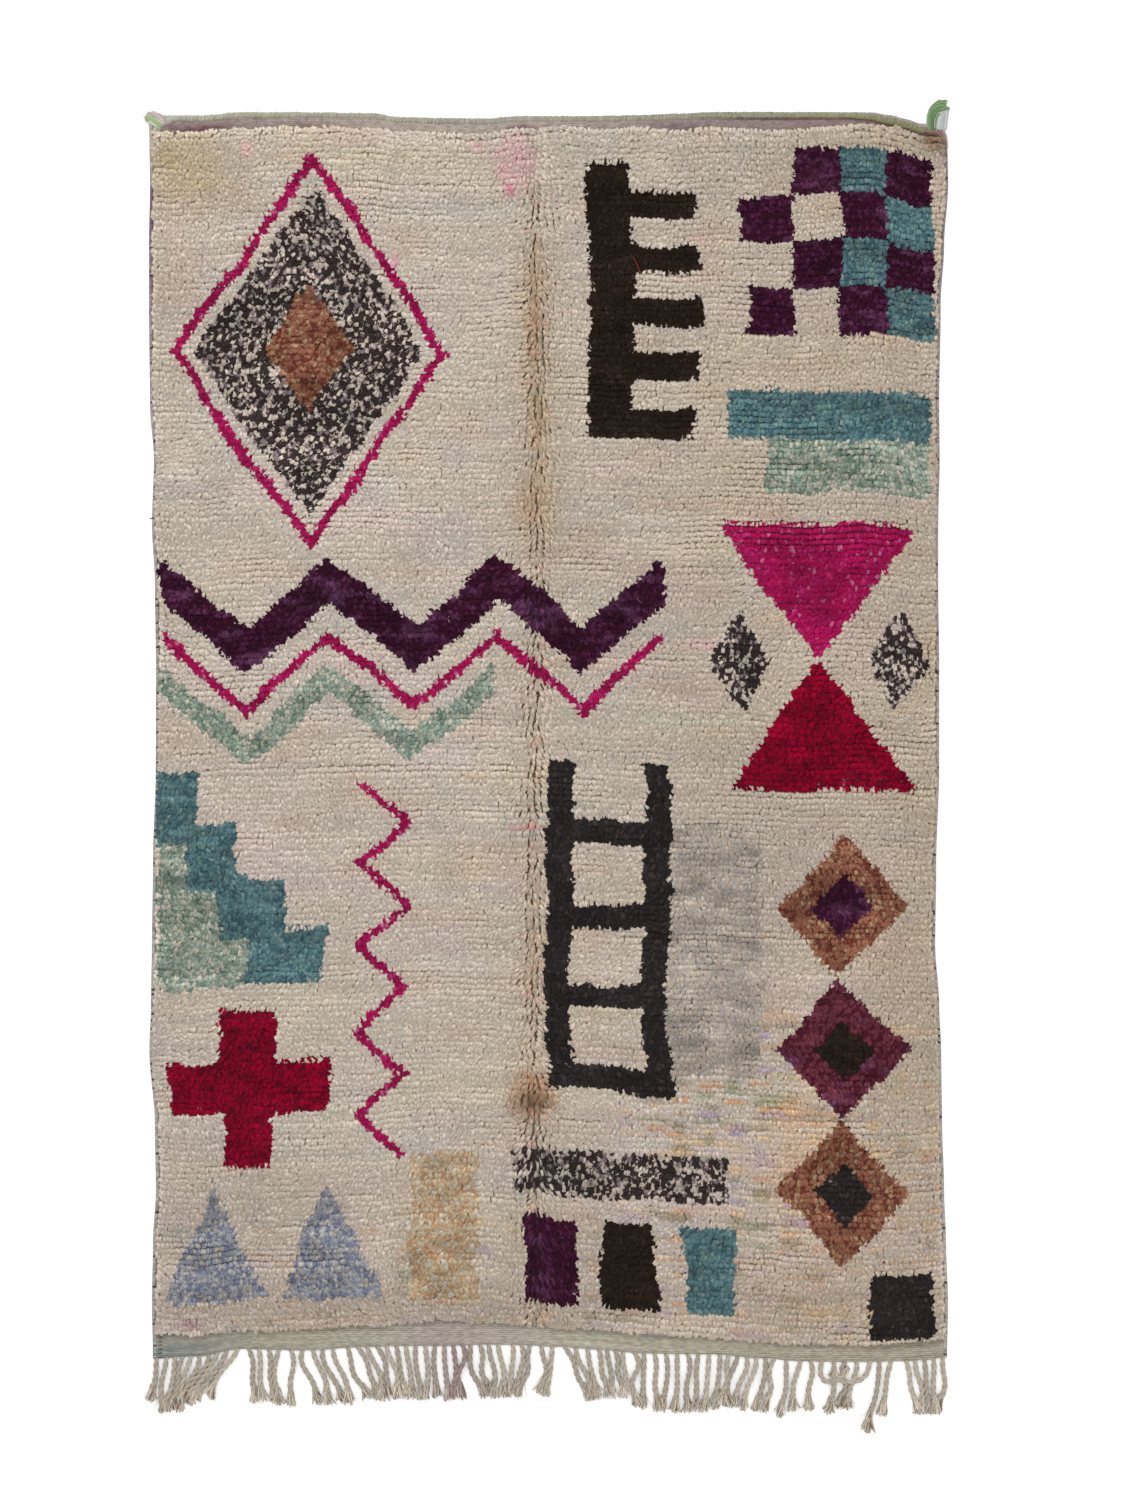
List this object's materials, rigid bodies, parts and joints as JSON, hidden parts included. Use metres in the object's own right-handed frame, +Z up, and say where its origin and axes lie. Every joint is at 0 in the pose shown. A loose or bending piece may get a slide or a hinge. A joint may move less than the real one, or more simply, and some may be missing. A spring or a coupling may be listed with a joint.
{
  "type": "azilal rug",
  "caption": "Hand-knotted wool pile rug lying flat, with flat-woven ends, a twined heading, corner tufts and a fringe of twisted warp ends.",
  "frame": {"origin": "on the floor, below the middle of the rug's whole extent with its fringe and tufts", "axes": "+X across the rug, +Y along it towards the twined heading, +Z up out of the pile"},
  "size_m": [1.6296, 2.6898, 0.016],
  "materials": {
    "wool_pile": "cut wool pile, ivory with coloured figures, on a flat wool weave",
    "heading_yarn": "twined wool, sage green and mauve",
    "tuft_yarn": "loose wool yarn, green and pale grey",
    "warp_yarn": "twisted wool warp ends, beige-grey"
  },
  "bodies": {
    "root": {"rug": "wool_pile", "twined_heading": "heading_yarn", "corner_tuft_left": "tuft_yarn", "corner_tuft_right": "tuft_yarn", "fringe": "warp_yarn"}
  },
  "joints": []
}
